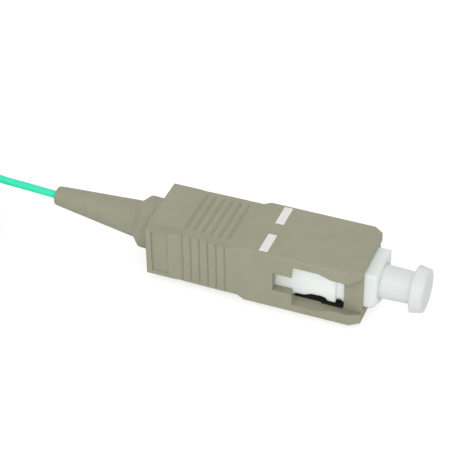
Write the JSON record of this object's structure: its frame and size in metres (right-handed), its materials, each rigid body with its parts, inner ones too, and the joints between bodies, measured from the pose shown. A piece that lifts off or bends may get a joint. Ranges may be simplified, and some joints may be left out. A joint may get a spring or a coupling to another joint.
{
  "type": "square push-pull fibre connector with buffered pigtail",
  "caption": "Square push-pull optical fibre connector with a dust cap on its ferrule, a tapered strain relief boot and a coiled buffered fibre pigtail.",
  "frame": {"origin": "on the optical axis, at the front face of the outer housing", "axes": "+X along the optical axis towards the ferrule's tip, +Z out of the face with the position marks, the key is on -Z"},
  "size_m": [0.0643, 0.0171, 0.0081],
  "materials": {
    "housing_plastic": "satin moulded beige grey",
    "mark_plastic": "satin white inlay",
    "frame_plastic": "satin off-white",
    "boot_rubber": "soft matt beige grey",
    "stop_plastic": "black moulded",
    "ferrule_ceramic": "polished white zirconia ceramic",
    "flange_metal": "turned stainless steel",
    "spring_steel": "drawn spring wire",
    "cap_plastic": "soft translucent white",
    "fibre_glass": "drawn silica",
    "buffer_plastic": "smooth aqua tight buffer",
    "tie_plastic": "soft white tape"
  },
  "bodies": {
    "plug": {"plug_frame": "frame_plastic", "stop_body": "stop_plastic", "boot": "boot_rubber", "inner_lead": "buffer_plastic", "ferrule_spring": "spring_steel", "cable": "buffer_plastic", "cable_coil": "buffer_plastic", "coil_tie_1": "tie_plastic", "coil_tie_2": "tie_plastic"},
    "grip": {"outer_housing": "housing_plastic", "position_mark_left": "mark_plastic", "position_mark_right": "mark_plastic"},
    "ferrule_assembly": {"ferrule": "ferrule_ceramic", "ferrule_flange": "flange_metal", "bare_fibre": "fibre_glass"},
    "cap": {"dust_cap": "cap_plastic"}
  },
  "joints": [
    {"name": "grip_slide", "type": "slide", "parent": "plug", "child": "grip", "axis": [1, 0, 0], "range_m": [0, 0.0012]},
    {"name": "ferrule_float", "type": "slide", "parent": "plug", "child": "ferrule_assembly", "axis": [-1, 0, 0], "range_m": [0, 0.001], "stiffness_N_per_m": 800, "deforming": ["ferrule_spring"]},
    {"name": "cap_pull", "type": "slide", "parent": "ferrule_assembly", "child": "cap", "axis": [1, 0, 0], "range_m": [0, 0.008]}
  ]
}
